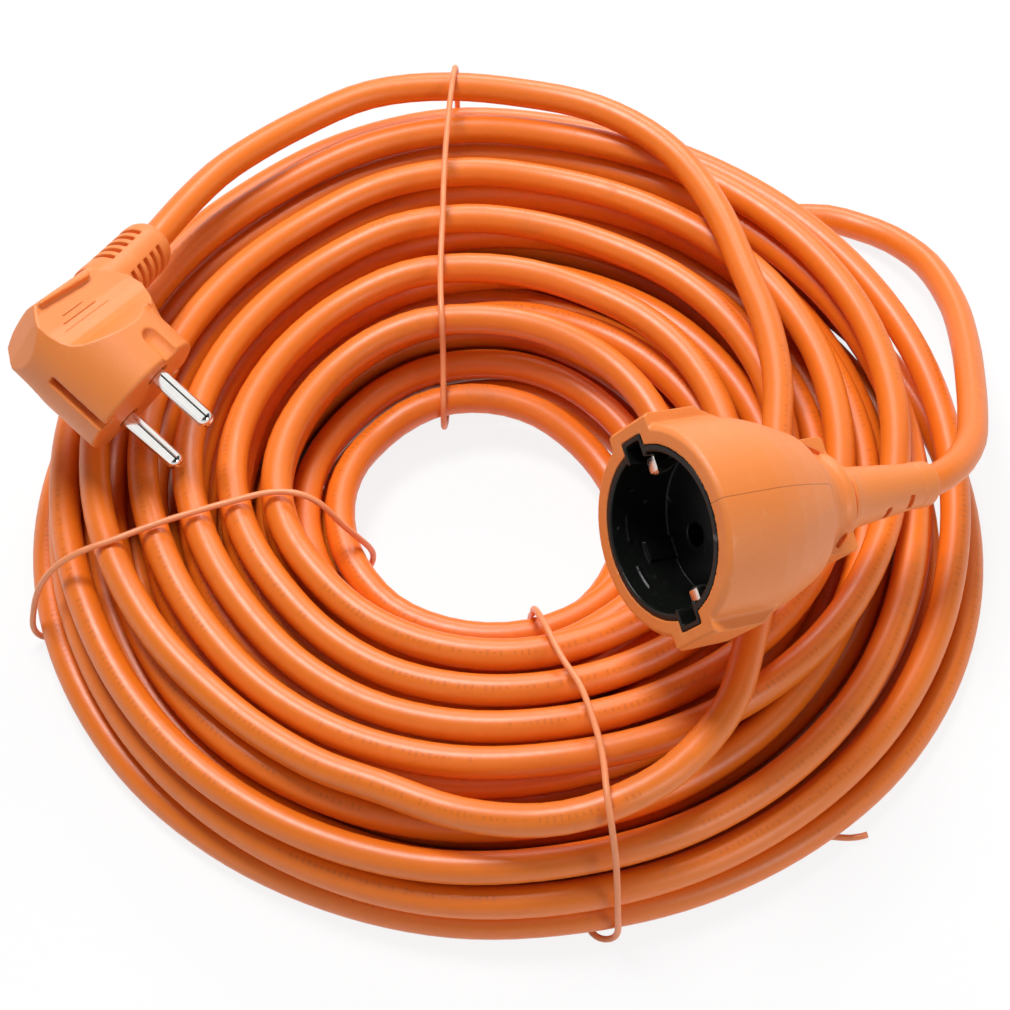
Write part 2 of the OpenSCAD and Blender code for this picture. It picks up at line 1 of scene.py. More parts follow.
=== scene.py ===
# %% [markdown]
# # An extension cord, piece by piece
# A long orange cable lies in a loose coil. One end has an earthed plug, the other a round
# socket, and three coated wires tie the coil. The CAD model gives every piece its place and
# its size. This lesson dresses it: the soft cable and the wires are made again as fuller
# forms, the mouldings get soft edges, and every surface gets its own finish.

# %% Load the frame
import json
import math

import bpy
from mathutils import Euler, Matrix, Vector
from mathutils.kdtree import KDTree

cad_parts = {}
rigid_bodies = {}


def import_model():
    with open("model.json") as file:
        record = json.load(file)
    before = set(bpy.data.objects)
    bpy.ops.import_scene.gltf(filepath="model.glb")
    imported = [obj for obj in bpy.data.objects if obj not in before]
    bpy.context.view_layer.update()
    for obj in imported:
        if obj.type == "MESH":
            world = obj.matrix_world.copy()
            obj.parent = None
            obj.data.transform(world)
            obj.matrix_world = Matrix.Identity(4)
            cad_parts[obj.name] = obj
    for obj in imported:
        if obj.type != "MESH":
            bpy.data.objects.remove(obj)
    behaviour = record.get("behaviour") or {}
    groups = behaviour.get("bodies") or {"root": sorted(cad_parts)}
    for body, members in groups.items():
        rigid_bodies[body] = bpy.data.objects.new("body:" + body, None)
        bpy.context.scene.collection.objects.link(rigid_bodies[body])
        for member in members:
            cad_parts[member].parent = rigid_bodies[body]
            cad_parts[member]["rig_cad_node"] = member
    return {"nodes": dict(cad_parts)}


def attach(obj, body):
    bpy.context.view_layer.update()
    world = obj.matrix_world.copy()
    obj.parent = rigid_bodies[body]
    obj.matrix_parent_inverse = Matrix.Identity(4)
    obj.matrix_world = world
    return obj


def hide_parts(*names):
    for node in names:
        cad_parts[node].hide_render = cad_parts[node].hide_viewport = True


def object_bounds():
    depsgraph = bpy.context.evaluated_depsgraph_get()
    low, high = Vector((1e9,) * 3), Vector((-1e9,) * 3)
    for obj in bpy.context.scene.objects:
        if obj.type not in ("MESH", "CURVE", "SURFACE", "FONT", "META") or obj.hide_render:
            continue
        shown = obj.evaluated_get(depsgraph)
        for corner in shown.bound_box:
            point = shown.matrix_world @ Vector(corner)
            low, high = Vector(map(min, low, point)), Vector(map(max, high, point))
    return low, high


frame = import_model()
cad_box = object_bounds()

MM = 0.001
nodes = frame["nodes"]
print("CAD box", [[round(x, 4) for x in corner] for corner in cad_box])

# %% [markdown]
# ## The camera
# The camera looks down at the coil from the near side, about 54 degrees above the floor.
# A lens of 91 mm on a 36 mm sensor flattens the coil only a little, because a long lens
# stands further away. It comes first, because everything else is judged through it.

# %% Set up the camera
SENSOR_MM = 36
PICTURE_PX, LENS_PX = 1010, 2560
CAMERA_TILT = 35.5

lens_data = bpy.data.cameras.new("camera")
lens_data.sensor_width = SENSOR_MM
lens_data.lens = SENSOR_MM * LENS_PX / PICTURE_PX
camera = bpy.data.objects.new("camera", lens_data)
camera.location = (-0.000525, -0.418398, 0.589593)
camera.rotation_euler = (math.radians(CAMERA_TILT), 0, 0)
bpy.context.scene.collection.objects.link(camera)
bpy.context.scene.camera = camera
print("camera at", [round(x, 3) for x in camera.location])

# %% [markdown]
# ## Where the cable lies
# The cable leaves the plug, lies once over the coil, and then winds down through four
# layers: in, out, in and out again. At the bottom it runs off to the side and climbs to the
# socket. The route comes from a few numbers for each layer and from short lists of points
# for the two free ends, the same as in the CAD source, so the dressed cable lies where the
# solid one does. The two lower layers have a few more turns than the solid has.

# %% Name the sizes of the route
CABLE_D = 8.4           # thickness of the cable
TIE_LIFT = 2.4          # how far a tie below the coil lifts it
TOP_Z = 30.06           # height of the middle of the top layer
FLOOR_Z = 4.22          # height of the middle of the lowest layer
OVER_COIL = 38.96       # height of the middle of a strand on top of the coil
LAYERS = 4
STEPS_A_TURN = 24
MIDDLE = Vector((-0.6, 5.1, 0.0))
TURNS = [0, 4.6, 10.6, 19.52, 28.4583]
SPIRAL_R = [116, 51, 129, 37, 131]
SHIFT_X = [1, -5, -2, -6, 3]
SHIFT_Y = [13, -5, 5, -4, -3]
OVAL = [0, 0, 3, 0, -3]
START = -128
RISES = [(103, 12, 42), (-162, 12, 42), (-64, 34, 66)]
PLUG_AT, PLUG_TURN = Vector((-97, 3.9, 54)), (-111.7, 21.7, -37.4)
SOCKET_AT, SOCKET_TURN = Vector((36.3, -60.9, 84)), (65.5, -21.9, 208.2)


# %% Write the rules that the route follows
def world(x, y, z):
    """A point of the CAD source, in millimetres, as a point of the scene, in metres."""
    return (Vector((x, y, z)) - MIDDLE) * MM


def seat_of(place, turn):
    """The matrix that takes a moulding's own millimetres to the scene."""
    angles = Euler([math.radians(a) for a in turn], "XYZ").to_matrix().to_4x4()
    return Matrix.Scale(MM, 4) @ Matrix.Translation(place - MIDDLE) @ angles


def ramp(u):
    """Goes softly from 0 to 1."""
    u = min(1.0, max(0.0, u))
    return u * u * (3 - 2 * u)


def along(t, values):
    """Reads a list that has one value for each reversal of the winding."""
    for k in range(LAYERS):
        if t <= TURNS[k + 1] or k == LAYERS - 1:
            share = (t - TURNS[k]) / (TURNS[k + 1] - TURNS[k])
            return values[k] + share * (values[k + 1] - values[k])


def rise(x, y):
    """How far a tie wire under the coil lifts it at this place."""
    best = 0.0
    for way, flat, full in RISES:
        cx, cy = math.cos(math.radians(way)), math.sin(math.radians(way))
        off = abs(y * cx - x * cy)
        best = max(best, (1 - ramp((off - flat) / (full - flat))) * ramp((x * cx + y * cy) / 36))
    return TIE_LIFT * best


# %% Follow the coil
def coil_point(t):
    """The middle of the cable after t turns, counted from the plug's end."""
    a = math.radians(START - 360 * t)
    r = along(t, SPIRAL_R) - along(t, OVAL) * math.cos(2 * a)
    loose = ramp(t / 0.7) * (1 - ramp((t - 9.5) / 2))
    r += loose * (0.9 * math.sin(2.3 * a + 1.1 * t) + 0.5 * math.sin(5.1 * a))
    x = along(t, SHIFT_X) + r * math.cos(a)
    y = along(t, SHIFT_Y) + r * math.sin(a)
    down = sum(ramp((t - TURNS[k] + 0.25) / 0.5) for k in (1, 2, 3))
    z = TOP_Z - (TOP_Z - FLOOR_Z) / (LAYERS - 1) * down + rise(x, y)
    return world(x, y, z)


coil_points = [coil_point(k / STEPS_A_TURN) for k in range(round(TURNS[4] * STEPS_A_TURN) + 1)]
turn_length = sum((b - a).length for a, b in zip(coil_points, coil_points[1:]))
print("turns", TURNS[4], "with", round(turn_length, 2), "m of cable")

# %% [markdown]
# ## The free ends of the cable
# The plug's end lies on the coil and dips where it crosses nothing. The socket's end leaves
# the lowest layer and climbs, stiff enough to carry itself, to the socket that leans on the
# coil. Each has under forty points, and one smooth curve goes through them all.

# %% List the points of both free ends
plug_lead = [(-50, -93.5, -8), (-32, -101.5, -7), (-12, -110, -5.5), (8, -114, -3),
    (24, -111.5, -0.6), (40.5, -102, 0.3), (54.5, -84.5, 0.3), (61, -64.5, 0.2),
    (66, -42.5, 0.2), (69.5, -19, 0.2), (72, 2, 0.2), (73.5, 22, 0.2), (71.5, 42, 0.2),
    (66.5, 61, 0.2), (60.5, 82, 0.2), (51.5, 101, 0.2), (40.5, 114, 0.3), (26, 123.5, 0.6),
    (9.5, 128.5, 0.8), (-17.5, 130, 0.8), (-41, 126, 1.5), (-61.5, 114.5, 3), (-80.5, 96, 6),
    (-90, 81, 8.5)]
socket_lead = [(72, 112.3, 0), (85, 112, 0), (97, 111.5, 0.2), (106, 108, 0.6),
    (115.5, 101, 2.6), (124.5, 88, 6.1), (129.5, 68, 11.6), (130, 47.5, 18.1), (128.5, 28, 25),
    (126.5, 12.5, 31), (124, 0, 36), (119.5, -10, 40.5), (114.5, -17, 44.2)]

# %% Find where the cable enters the plug and the socket
plug_seat = seat_of(PLUG_AT, PLUG_TURN)
socket_seat = seat_of(SOCKET_AT, SOCKET_TURN)
tilt = math.radians(7)
exit_way = Vector((-math.sin(tilt), 0, math.cos(tilt)))
boot_seat = Vector((-29.8, 0, 19.3))
PLUG_SLEEVE_L = 28
SOCKET_L = 88
plug_mouth = plug_seat @ (boot_seat + PLUG_SLEEVE_L * exit_way)
socket_mouth = socket_seat @ Vector((-SOCKET_L, 0, 0))
print("plug mouth", [round(c, 4) for c in plug_mouth])
print("socket mouth", [round(c, 4) for c in socket_mouth])

# %% Join them into one route
from_plug = [plug_seat @ (boot_seat + 2.5 * exit_way), plug_mouth]
from_plug += [world(x, y, OVER_COIL + h + rise(x, y)) for x, y, h in reversed(plug_lead)]
to_socket = [world(x, y, FLOOR_Z + h) for x, y, h in socket_lead]
to_socket += [socket_mouth, socket_seat @ Vector((-59, 0, 0))]
knots = from_plug + coil_points + to_socket


def through(points, gap):
    """A smooth curve through the points, with its own points no further apart than the gap."""
    line = []
    for k in range(len(points) - 1):
        p1, p2 = points[k], points[k + 1]
        p0 = points[k - 1] if k else p1 + (p1 - p2)
        p3 = points[k + 2] if k + 2 < len(points) else p2 + (p2 - p1)
        span = (p2 - p1).length
        g1 = (p2 - p0) * (span / max(1e-9, (p2 - p1).length + (p1 - p0).length))
        g2 = (p3 - p1) * (span / max(1e-9, (p3 - p2).length + (p2 - p1).length))
        count = max(1, math.ceil(span / gap))
        for j in range(count):
            u = j / count
            a, b = 2 * u**3 - 3 * u**2 + 1, u**3 - 2 * u**2 + u
            line.append(p1 * a + g1 * b + p2 * (1 - a) + g2 * (u**3 - u**2))
    return line + [points[-1]]


RING_GAP = 0.0062
route = through(knots, RING_GAP)
cable_length = sum((b - a).length for a, b in zip(route, route[1:]))
print("route", len(route), "points,", round(cable_length, 2), "m")


# %% [markdown]
# ## The cable and how it is drawn out
# A cable is extruded: one round section drawn along the whole route. The tube below does the
# same, ring by ring. Each ring starts at the side that lies level, so the pattern on the
# cable doesn't twist, and a UV map counts once round the cable in one direction and metres
# along it in the other. That map carries the raised marks later.

# %% Draw a tube along a route
def tube(name, points, radius, sides, reference=None):
    """A closed tube with a UV map: once round, and metres along."""
    verts, faces, uvs, run = [], [], [], [0.0]
    for i, p in enumerate(points):
        ahead = points[min(i + 1, len(points) - 1)] - points[max(i - 1, 0)]
        t = ahead.normalized()
        side = reference - reference.dot(t) * t if reference else t.cross(Vector((0, 0, 1)))
        side.normalize()
        up = side.cross(t)
        for k in range(sides):
            a = 2 * math.pi * k / sides
            verts.append(p + radius * math.cos(a) * side + radius * math.sin(a) * up)
            verts[-1].z = max(0.0, verts[-1].z)
        if i:
            run.append(run[-1] + (p - points[i - 1]).length)
    for i in range(len(points) - 1):
        for k in range(sides):
            j = (k + 1) % sides
            faces.append((i * sides + k, i * sides + j, (i + 1) * sides + j, (i + 1) * sides + k))
            uvs += [(k / sides, run[i]), ((k + 1) / sides, run[i]),
                    ((k + 1) / sides, run[i + 1]), (k / sides, run[i + 1])]
    for ring, order in ((0, -1), (len(points) - 1, 1)):
        faces.append(tuple(ring * sides + k for k in range(sides))[::order])
        uvs += [(0.0, run[ring])] * sides
    mesh = bpy.data.meshes.new(name)
    mesh.from_pydata(verts, [], faces)
    layer = mesh.uv_layers.new(name="round_and_along")
    for spot, uv in zip(layer.data, uvs):
        spot.uv = uv
    mesh.shade_smooth()
    piece = bpy.data.objects.new(name, mesh)
    bpy.context.scene.collection.objects.link(piece)
    return piece


cable = tube("cable", route, CABLE_D / 2 * MM, 24)
print("cable faces", len(cable.data.polygons))

# %% [markdown]
# ## The tie wires
# Each wire goes up outside the coil, over it, down through the hole and back underneath. It
# is drawn as the cable is, only thinner, through the points of the CAD source; the near
# wire's last points reach further, so that its loose end shows on the floor. Where a point
# would cut into a strand it is pushed out, so that the wire lies on the cable.

# %% List the points of the three tie wires
W = 0.95                # height of a wire's middle where it lies on the floor
far_tie = [(-14.3, 116, W), (-14.8, 127, 1.2), (-15.3, 136, 8), (-15.6, 139, 22),
    (-15.7, 138.5, 36), (-15.8, 135.5, 45), (-16.2, 130.5, 48.3), (-17.4, 118, 46.4),
    (-18.6, 98, 43.8), (-19, 78, 41.2), (-19.4, 62, 38.8), (-19.1, 49.5, 38.6), (-18.8, 44, 36.8),
    (-18.6, 41.4, 31.5), (-18.5, 37, 24.5), (-18.5, 30, 19.4), (-18.5, 26.6, 14.2), (-18.5, 28, 9),
    (-18.3, 32.5, 4.2), (-18, 37.6, 1.2), (-18.2, 47, W), (-18.2, 85, W), (-17.6, 112, W),
    (-18, 121, W)]
left_tie = [(-113, -33, W), (-123.5, -38, W), (-127.5, -38.5, 2.2), (-128.8, -38.5, 6.5),
    (-128, -38, 12), (-125.5, -37, 22), (-120.5, -35.8, 31), (-113, -34, 36.5), (-104, -31, 37.8),
    (-93.5, -26.5, 38.5), (-83, -22.5, 38.7), (-73, -19, 38.7), (-63, -16, 38.7),
    (-55, -16.5, 38.4), (-50, -18, 36), (-45.5, -19, 29), (-40, -19, 20.5), (-37, -18, 13.5),
    (-37.2, -18, 9), (-40.5, -19.3, 3.6), (-46, -20.5, W), (-75, -22, W), (-96, -25, W),
    (-108, -28.5, W)]
near_tie = [(17.6, -119.6, W), (20.8, -126.6, W), (23.8, -128.4, 1.2), (26.2, -128.7, 2.8),
    (27.2, -128.7, 6.5), (26.9, -128.6, 12), (26.5, -127.2, 22), (25.8, -122.8, 34),
    (24.4, -117.8, 44), (23.4, -112, 47.6), (22.7, -100, 45.8), (20.2, -86.5, 42.9),
    (17.2, -76, 41), (14.2, -70.5, 39.8), (11.2, -63.5, 39.3), (9.2, -57, 37.4), (6.6, -48, 31),
    (6.3, -42, 19.5), (5.8, -37.2, 11), (5.6, -37.2, 5.5), (5.6, -38.6, 1.5), (7, -46, W),
    (15, -68.4, W), (32, -86.5, W), (54, -95.2, W), (84, -98.8, W), (89, -99.4, 1.2),
    (92.5, -98.6, 1.7)]
print("tie points", len(far_tie), len(left_tie), len(near_tie))

# %% Lay the wires on the cable and draw them
TIE_R = 0.85
TIE_STEP = 0.0016
SMOOTH_PASSES = 6


def lie_on(line, radius, passes=12):
    """Moves a wire's points off the cable and keeps them over the floor and in the box."""
    clear = (CABLE_D / 2 + 0.1) * MM + radius
    for count in range(passes):
        for k, p in enumerate(line):
            near, place, far = cable_tree.find(p)
            if far < clear:
                line[k] = near + (p - near) * (clear / far)
            for axis in range(3):
                low, high = cad_box[0][axis] + radius, cad_box[1][axis] - radius
                line[k][axis] = min(high, max(low, line[k][axis]))
        if count < SMOOTH_PASSES:
            line[1:-1] = [p * 0.5 + (a + b) * 0.25 for a, p, b in zip(line, line[1:], line[2:])]
    return line


cable_line = through(knots, 0.001)
cable_tree = KDTree(len(cable_line))
for k, p in enumerate(cable_line):
    cable_tree.insert(p, k)
cable_tree.balance()
ties = {}
for name, points, reference in (("tie_wire_far", far_tie, Vector((1, 0, 0))),
                                ("tie_wire_left", left_tie, Vector((-0.3, 1, 0))),
                                ("tie_wire_near", near_tie, Vector((1, 0.3, 0)))):
    line = lie_on(through([world(*p) for p in points], TIE_STEP), TIE_R * MM)
    ties[name] = tube(name, line, TIE_R * MM, 12, reference)
    print(name, round(sum((b - a).length for a, b in zip(line, line[1:])), 3), "m")

# %% [markdown]
# ## Tools for the mouldings
# The plug and the socket are moulded rubbery plastic: every edge is a little round, and
# pieces flow into each other. They could be subdivision cages, but slots and notches would
# pinch. So each is put together from turned and extruded shapes, cut and joined, and then
# remeshed in fine voxels and smoothed, which rounds every edge by the same small amount.

# %% Start from a clean selection
def pick(*pieces):
    """Leaves edit mode and selects these pieces alone."""
    if bpy.context.object and bpy.context.object.mode != "OBJECT":
        bpy.ops.object.mode_set(mode="OBJECT")
    bpy.ops.object.select_all(action="DESELECT")
    for piece in pieces:
        piece.select_set(True)
    if pieces:
        bpy.context.view_layer.objects.active = pieces[0]
    return pieces[0] if pieces else None


# %% Turn an outline, or push it out
def outline_loop(name, spots, fill):
    """A ring of points, added as a circle and pulled to the outline."""
    pick()
    bpy.ops.mesh.primitive_circle_add(vertices=len(spots), radius=1, fill_type=fill)
    piece = bpy.context.object
    piece.name = piece.data.name = name
    for vertex, spot in zip(piece.data.vertices, spots):
        vertex.co = spot
    bpy.ops.object.mode_set(mode="EDIT")
    bpy.ops.mesh.select_all(action="SELECT")
    return piece


def turned(name, profile, steps=96):
    """Spins a profile of (along, radius) once round X."""
    piece = outline_loop(name, [(x, 0, r) for x, r in profile], "NOTHING")
    bpy.ops.mesh.spin(steps=steps, angle=2 * math.pi, center=(0, 0, 0), axis=(1, 0, 0))
    bpy.ops.mesh.select_all(action="SELECT")
    bpy.ops.mesh.remove_doubles(threshold=0.0005)
    bpy.ops.mesh.delete_loose()
    bpy.ops.mesh.select_all(action="SELECT")
    bpy.ops.mesh.normals_make_consistent(inside=False)
    bpy.ops.object.mode_set(mode="OBJECT")
    return piece


def pushed(name, spots, way):
    """Fills an outline of points in space and extrudes it by a vector."""
    piece = outline_loop(name, spots, "NGON")
    bpy.ops.mesh.extrude_region_move(TRANSFORM_OT_translate={"value": way})
    bpy.ops.mesh.select_all(action="SELECT")
    bpy.ops.mesh.normals_make_consistent(inside=False)
    bpy.ops.object.mode_set(mode="OBJECT")
    return piece


def block(name, low, high):
    """A straight-sided block between two corners."""
    x0, y0, z0 = low
    x1, y1, z1 = high
    return pushed(name, [(x0, y0, z0), (x1, y0, z0), (x1, y1, z0), (x0, y1, z0)], (0, 0, z1 - z0))


# %% Cut, join, round and seat
def carve(body, *tools, how="DIFFERENCE"):
    """Cuts the tools out of a body, or joins or crosses them with it, and removes them."""
    for tool in tools:
        pick(body)
        step = body.modifiers.new("carve", "BOOLEAN")
        step.operation, step.object, step.solver = how, tool, "EXACT"
        bpy.ops.object.modifier_apply(modifier=step.name)
        bpy.data.objects.remove(tool)
    return body


def rounded(piece, voxel, passes):
    """Remeshes in voxels and smooths, so that every edge is moulded round."""
    pick(piece)
    cells = piece.modifiers.new("cells", "REMESH")
    cells.mode, cells.voxel_size = "VOXEL", voxel
    bpy.ops.object.modifier_apply(modifier=cells.name)
    soft = piece.modifiers.new("soft", "SMOOTH")
    soft.factor, soft.iterations = 0.5, passes
    bpy.ops.object.modifier_apply(modifier=soft.name)
    bpy.ops.object.shade_smooth()
    return piece


def seated(piece, seat):
    """Moves a finished mesh from its own millimetres to its place in the scene."""
    piece.data.transform(seat)
    piece.data.update()
    pick()
    return piece


# %% [markdown]
# ## The plug's body
# The body is a round drum that the hand narrows to a flat grip. On the real one the sides
# are scooped away behind the drum, which leaves one curved crease on each side. Here a drum
# and a skirt give the round part, a prism gives the grip, and a cutter on each side scoops
# it: its outline is the plan of the grip, leaned a little so that the grip is thinner below.

# %% Shape the grip
def arc(cx, cz, r, a0, a1, steps):
    """Points on a circle round (cx, cz), from one angle in degrees to another."""
    return [(cx + r * math.cos(math.radians(a0 + (a1 - a0) * k / steps)),
             cz + r * math.sin(math.radians(a0 + (a1 - a0) * k / steps))) for k in range(steps + 1)]


PLUG_R = 18.7           # radius of the drum
GRIP_LEAN = 0.05        # how much wider the grip's top is, for each unit of height
PIN_SIDE = 9.5          # from the middle to each pin
plug = turned("plug_body_soft",
              [(0, 0), (0, 18.1), (-0.6, PLUG_R), (-40, PLUG_R), (-40, 0)], 128)
crown = pushed("crown", [(x, -PLUG_R, z) for x, z in [(-11, 10), (-11, 17), (-13, 18.6),
               (-21, 20.4), (-37.2, 18.4), (-38.6, 16), (-38.6, 10)]], (0, 2 * PLUG_R, 0))
carve(plug, crown, how="UNION")
side = pushed("side", [(x, -22, z) for x, z in [(1, 22), (-13, 18.7), (-21, 20.4), (-37.2, 18.4),
              (-38.6, 16), (-38.6, -5.5), (-36.2, -10.5), (-31, -15.5), (-25.5, -19), (1, -22)]],
              (0, 44, 0))
carve(plug, side, how="INTERSECT")
for s in (-1, 1):
    plan = [(-12.6, 19.6), (-13.2, 18.6), (-14.8, 17), (-16.4, 15.1), (-18.2, 12.9), (-20.2, 11.4),
            (-22.8, 10.5), (-26, 10), (-32, 9.8), (-41, 9.7), (-41, 24), (-12.6, 24)]
    scoop = pushed("scoop", [(x, s * y, -30) for x, y in plan], (0, 0, 60))
    for vertex in scoop.data.vertices:
        vertex.co.y += s * GRIP_LEAN * vertex.co.z
    carve(plug, scoop)
back = [(-33.4, 22), (-33.7, 11.5), (-34.4, 10), (-35.5, 7.5), (-36.3, 4.5), (-36.7, 0)]
back += [(x, -y) for x, y in back[-2::-1]]
carve(plug, pushed("back", [(x, y, -24) for x, y in [(1, 22), *back, (1, -22)]], (0, 0, 48)),
      turned("shoulders", [(2, 0), (2, 18.8), (-11, 18.8), (-13.5, 19.7), (-20, 22.3), (-41, 31),
             (-41, 0)], 128), how="INTERSECT")
for s in (-1, 1):
    pick(plug)
    bpy.ops.object.mode_set(mode="EDIT")
    bpy.ops.mesh.select_all(action="SELECT")
    bpy.ops.mesh.bisect(plane_co=(-34.7, s * 10, 12.4), plane_no=(-0.543, s * 0.638, 0.545),
                        clear_outer=True, use_fill=True)
    bpy.ops.object.mode_set(mode="OBJECT")
print("plug body shaped,", len(plug.data.polygons), "faces")

# %% [markdown]
# The grip has a finger ridge at its back on each side, so that it can be pulled. The drum
# has a guide groove on each side, which the socket's ribs run in, and a slot above and below
# for the earth strip. The face has a shallow ring round each pin.

# %% Add the ridges and cut the grooves
for s in (-1, 1):
    ridge = pushed("ridge", [(x, s * 7, z) for x, z in
                   [(-34.9, -10.2), (-34.3, -11.4), (-33, -11.3), (-31.6, 8), (-32.6, 9.4),
                    (-34.3, 9.2)]], (0, s * 4.7, 0))
    for vertex in ridge.data.vertices:
        if abs(vertex.co.y) > 8:
            vertex.co.y += s * GRIP_LEAN * vertex.co.z
            vertex.co.x += 0.5 if vertex.co.x < -34 else -0.4
    carve(plug, ridge, how="UNION")
    groove = turned("groove", [(-10, 0), (-9.4, 1.8), (-8.2, 2.9), (-6.8, 3.2), (4, 3.2),
                    (4, 0)], 32)
    groove.data.transform(Matrix.Translation((0, s * 19.6, 0)))
    slot = block("slot", (-18.7, -1.35, 13.9 if s > 0 else -21), (2, 1.35, 21 if s > 0 else -13.9))
    ring = turned("ring", [(-3.1, 0), (-3.1, 3.5), (2, 3.5), (2, 0)], 48)
    ring.data.transform(Matrix.Translation((0, s * PIN_SIDE, 0)))
    carve(plug, groove, slot, ring)
rounded(plug, voxel=0.34, passes=4)
print("plug body rounded,", len(plug.data.polygons), "faces")

# %% Raise the three fine lines on each side of the grip
fine = []
for s in (-1, 1):
    for k in range(3):
        x, y = -24 - 2 * k, 10.22 - 0.11 * k
        low, high = -11.6 + 2 * k, 7.2 - 3.3 * k
        line = pushed("line", [(x - 0.35, s * (y - 0.8), low), (x + 0.35, s * (y - 0.8), low),
                      (x + 0.12, s * (y + 0.22), low), (x - 0.12, s * (y + 0.22), low)],
                      (0, 0, high - low))
        for vertex in line.data.vertices:
            vertex.co.y += s * GRIP_LEAN * vertex.co.z
        fine.append(line)
pick(plug, *fine)
bpy.ops.object.join()
seated(plug, plug_seat)
print("fine lines", len(fine))

# %% [markdown]
# ## The pins
# Both pins are the same turned piece: a shank with a round tip, a thinner root, and between
# them a flange that the carrier holds. A lathe is the natural way to make it. It is turned
# once, and each pin has its own copy of the mesh.

# %% Turn the pins
PIN_R, PIN_L = 2.4, 19
pin_profile = [(-11, 0), (-11, 2.2), (-4.5, 2.2), (-4.5, 3.3), (-3, 3.3), (-3, PIN_R)]
pin_profile += arc(PIN_L - PIN_R, 0, PIN_R, 90, 0, 10)
pins = []
for s in (-1, 1):
    pin = turned("pin_live_soft", pin_profile, 48) if s < 0 else pins[0].copy()
    if s > 0:
        pin.data, pin.name = pins[0].data.copy(), "pin_neutral_soft"
        bpy.context.scene.collection.objects.link(pin)
    else:
        pick(pin)
        bpy.ops.object.shade_smooth_by_angle(angle=math.radians(32))
    pins.append(pin)
for s, pin in zip((-1, 1), pins):
    seated(pin, plug_seat @ Matrix.Translation((0, s * PIN_SIDE, 0)))
print("pin faces", len(pins[0].data.polygons))

# %% [markdown]
# ## The bend sleeves
# Each end of the cable leaves through a tapered sleeve that spreads the bend. The plug's has
# two rows of slots with a smooth spine between them. The socket's is smooth and has two
# small openings on one side. Both are turned, slotted and rounded as the bodies are.

# %% Make the plug's sleeve
sleeve = turned("plug_sleeve_soft", [(-2, 4.25), (-2, 8.5), (0.5, 8.5), (3, 8.3), (20, 7.8),
                (23, 7.8), (25.4, 7.5), (26.9, 6.8), (27.7, 5.9), (28, 4.9), (28, 4.25)], 96)
for k in range(5):
    for s in (-1, 1):
        ring = arc(0, 0, 5.7, -68, 68, 12) + arc(0, 0, 11, 68, -68, 12)
        carve(sleeve, pushed("slot", [(4.6 + 3.75 * k, s * y, z) for y, z in ring], (1.9, 0, 0)))
rounded(sleeve, voxel=0.2, passes=3)
lie = Matrix.Translation(boot_seat) @ Matrix.Rotation(-tilt, 4, "Y") @ Matrix(
    ((0, 1, 0, 0), (0, 0, 1, 0), (1, 0, 0, 0), (0, 0, 0, 1)))
seated(sleeve, plug_seat @ lie)
print("plug sleeve", len(sleeve.data.polygons), "faces")

# %% Make the socket's sleeve
tail = turned("socket_sleeve_soft", [(-55.5, 4.25), (-55.5, 9.4), (-57.2, 9.2), (-58.6, 8.4),
              (-61, 7.9), (-78, 6.3), (-82.4, 5.95), (-83.2, 6.15), (-87.2, 5.95), (-88, 5.3),
              (-88, 4.25)], 96)
for x, first, last in ((-70.3, -97, -52), (-78.3, -76, -34)):
    opening = arc(0, 0, 4.9, first, last, 8) + arc(0, 0, 12, last, first, 8)
    carve(tail, pushed("opening", [(x, y, z) for y, z in opening], (1.8, 0, 0)))
rounded(tail, voxel=0.2, passes=3)
seated(tail, socket_seat)
print("socket sleeve", len(tail.data.polygons), "faces")

# %% [markdown]
# ## The socket's barrel
# The barrel is turned: straight round the well, then drawn in to a small flange at the back.
# Two flat pads stand over the notches of the well, with a bevel at their rear end, and two
# small lugs sit on the flange in line with them. The seam of the mould comes with the finish.

# %% Turn the barrel and add its pads
barrel = turned("socket_barrel_soft", [(0, 21.5), (0, 24.9), (-1.1, 26), (-18, 26), (-24, 25),
                (-30, 23.2), (-33, 22), (-36, 20.9), (-38.4, 19.9), (-41, 17.4), (-44, 14.6),
                (-47, 12.7), (-49, 12.3), (-50.4, 12.9), (-51.8, 12.9), (-52.6, 12.2), (-52.8, 9),
                (-57.2, 8.6), (-57.2, 4.3), (-50, 4.3), (-50, 8.4), (-44, 10.4), (-38.6, 14),
                (-38.2, 18.9), (-20, 18.9), (-20, 21.5)], 128)
for s in (-1, 1):
    pad = pushed("pad", [(x, -8, s * z) for x, z in [(0, 20), (0, 27.2), (-0.9, 28), (-15.6, 28),
                 (-21.8, 24.2), (-21.8, 20)]], (0, 16, 0))
    pad = carve(pad, turned("room", [(-40, 0), (-40, 22), (2, 22), (2, 0)], 96))
    carve(barrel, pad, how="UNION")
    lug = pushed("lug", [(x, -8, s * z) for x, z in [(-51.8, 7), (-51.8, 14.2), (-50.8, 15.2),
                 (-40, 15.2), (-40, 7)]], (0, 16, 0))
    slit = [(-44.5, -13), (-47.5, -11), (-50.6, -9.8), (-51, -10.3), (-48, -12.1), (-45, -13.8)]
    carve(lug, pushed("slit", [(x, 6.2, -s * z) for x, z in slit], (0, 3, 0)))
    carve(barrel, lug, how="UNION")
    carve(barrel, block("notch", (-13.4, -4.15, s * 18), (2, 4.15, s * 24.3)))
rounded(barrel, voxel=0.4, passes=3)
seated(barrel, socket_seat)
print("barrel", len(barrel.data.polygons), "faces")

# %% [markdown]
# ## The socket's insert
# The dark insert is a deep cup with a thin rim. Two ribs deep inside it run in the grooves
# of a plug, with a thin ledge on either side near the mouth. Two notches at the mouth hold
# the earth clips, and two round entries in the floor let the pins through. It is harder than
# the barrel, so its edges stay crisper.

